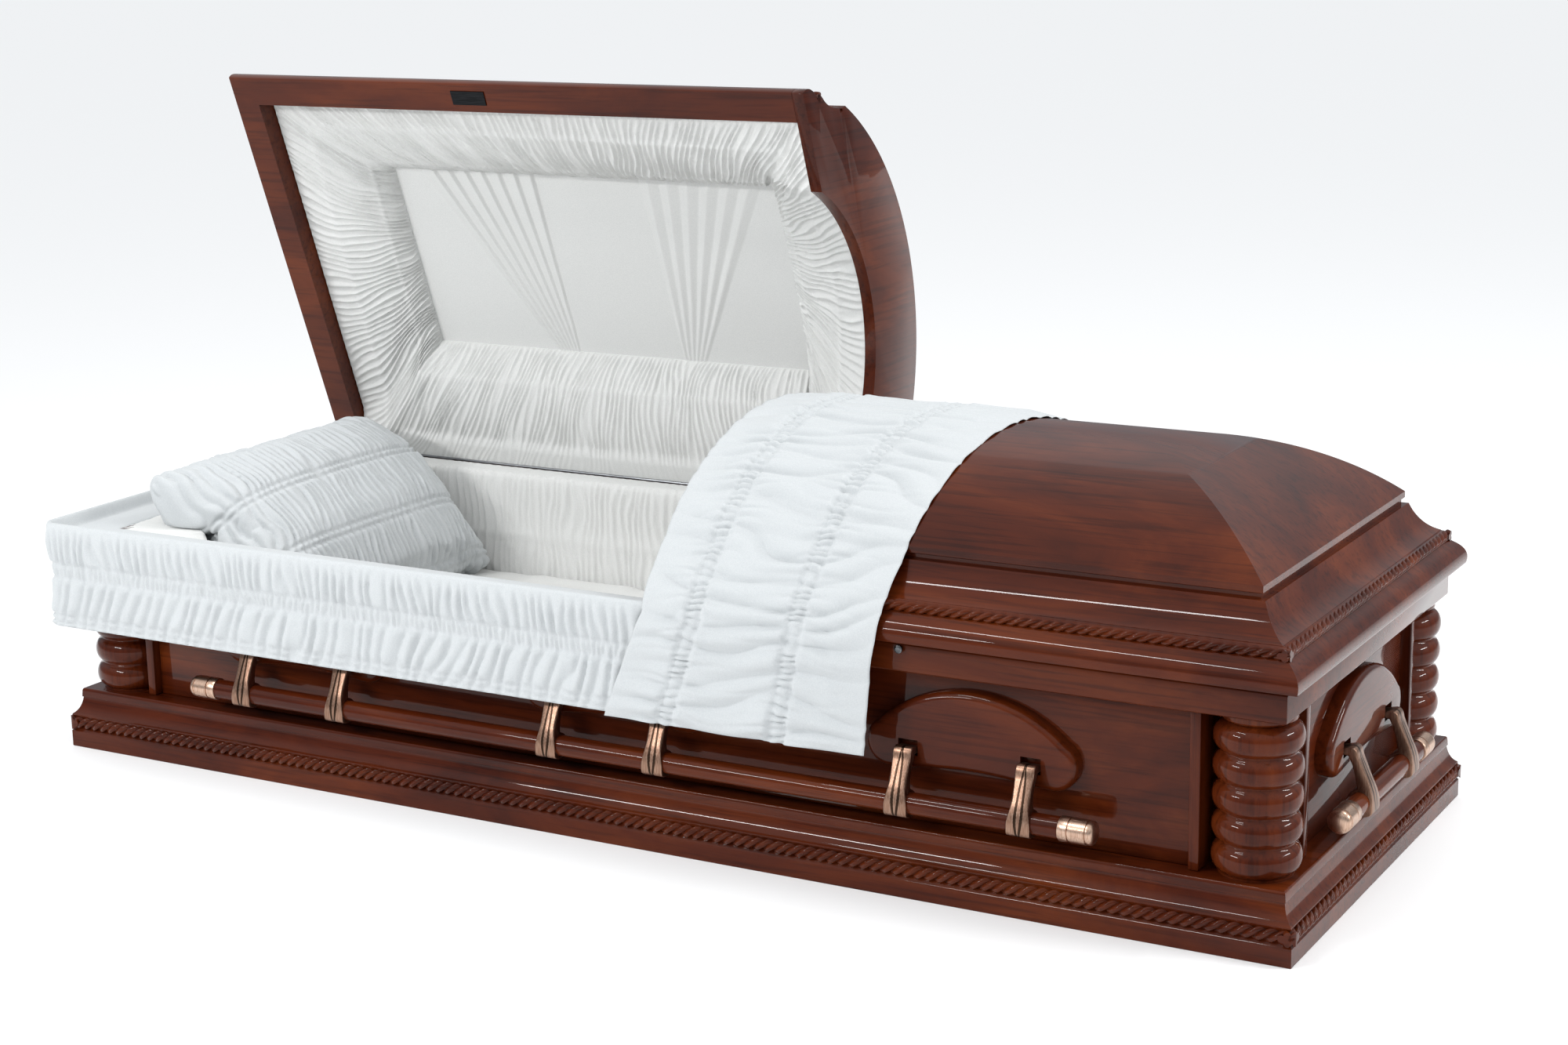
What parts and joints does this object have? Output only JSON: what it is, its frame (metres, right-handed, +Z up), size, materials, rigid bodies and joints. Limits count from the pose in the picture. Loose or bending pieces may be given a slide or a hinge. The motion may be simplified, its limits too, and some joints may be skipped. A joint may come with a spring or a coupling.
{
  "type": "funeral casket",
  "caption": "Half-couch wooden casket with a hinged head lid standing open, a shut foot lid, turned corner columns, swing-bar handles and a ruched white interior.",
  "frame": {"origin": "middle of the underside of the base, on the floor", "axes": "+X from the head end to the foot end, along the length; -Y is the front, where the apron and the throw hang; +Z up"},
  "size_m": [2.1342, 0.8932, 1.0652],
  "materials": {
    "wood": "gloss lacquer",
    "lining": "ruched crepe",
    "copper": "brushed antique copper",
    "hinge_metal": "satin",
    "black_metal": "satin black",
    "knob_metal": "polished"
  },
  "bodies": {
    "shell": {"base_moulding": "wood", "bottom_board": "wood", "front_panel": "wood", "foot_end_panel": "wood", "back_panel": "wood", "head_end_panel": "wood", "corner_post_front_head": "wood", "column_front_head": "wood", "corner_post_front_foot": "wood", "column_front_foot": "wood", "corner_post_back_foot": "wood", "column_back_foot": "wood", "corner_post_back_head": "wood", "column_back_head": "wood", "top_rail": "wood", "front_lug_plate_1": "wood", "front_lug_plate_2": "wood", "front_lug_plate_3": "wood", "foot_end_lug_plate": "wood", "back_lug_plate_1": "wood", "back_lug_plate_2": "wood", "back_lug_plate_3": "wood", "head_end_lug_plate": "wood", "body_lining": "lining", "mattress": "lining", "pillow": "lining", "apron": "lining", "head_lid_hinge": "hinge_metal", "foot_lid_hinge": "hinge_metal", "catch_knob": "knob_metal"},
    "head_lid": {"head_lid_moulding": "wood", "head_lid_crown": "wood", "head_lid_header": "wood", "head_lid_lining": "lining", "strike_plate": "black_metal"},
    "foot_lid": {"foot_lid_moulding": "wood", "foot_lid_crown": "wood", "foot_lid_header": "wood", "throw": "lining"},
    "front_handle": {"front_bar": "wood", "front_arm_1": "copper", "front_arm_2": "copper", "front_arm_3": "copper", "front_arm_4": "copper", "front_arm_5": "copper", "front_arm_6": "copper"},
    "foot_end_handle": {"foot_end_bar": "wood", "foot_end_arm_1": "copper", "foot_end_arm_2": "copper"},
    "back_handle": {"back_bar": "wood", "back_arm_1": "copper", "back_arm_2": "copper", "back_arm_3": "copper", "back_arm_4": "copper", "back_arm_5": "copper", "back_arm_6": "copper"},
    "head_end_handle": {"head_end_bar": "wood", "head_end_arm_1": "copper", "head_end_arm_2": "copper"}
  },
  "joints": [
    {"name": "head_lid_hinge_turn", "type": "hinge", "parent": "shell", "child": "head_lid", "pos_m": [-0.5, 0.3595, 0.3635], "axis": [1, 0, 0], "range_deg": [0, 70], "deforming": ["pillow"]},
    {"name": "foot_lid_hinge_turn", "type": "hinge", "parent": "shell", "child": "foot_lid", "pos_m": [0.565, 0.3595, 0.3635], "axis": [-1, 0, 0], "range_deg": [0, 70]},
    {"name": "front_handle_swing", "type": "hinge", "parent": "shell", "child": "front_handle", "pos_m": [0, -0.349, 0.209], "axis": [-1, 0, 0], "range_deg": [0, 35]},
    {"name": "back_handle_swing", "type": "hinge", "parent": "shell", "child": "back_handle", "pos_m": [0, 0.349, 0.209], "axis": [1, 0, 0], "range_deg": [0, 35]},
    {"name": "head_end_handle_swing", "type": "hinge", "parent": "shell", "child": "head_end_handle", "pos_m": [-1.018, 0, 0.209], "axis": [0, 1, 0], "range_deg": [0, 35]},
    {"name": "foot_end_handle_swing", "type": "hinge", "parent": "shell", "child": "foot_end_handle", "pos_m": [1.018, 0, 0.209], "axis": [0, -1, 0], "range_deg": [0, 35]}
  ]
}
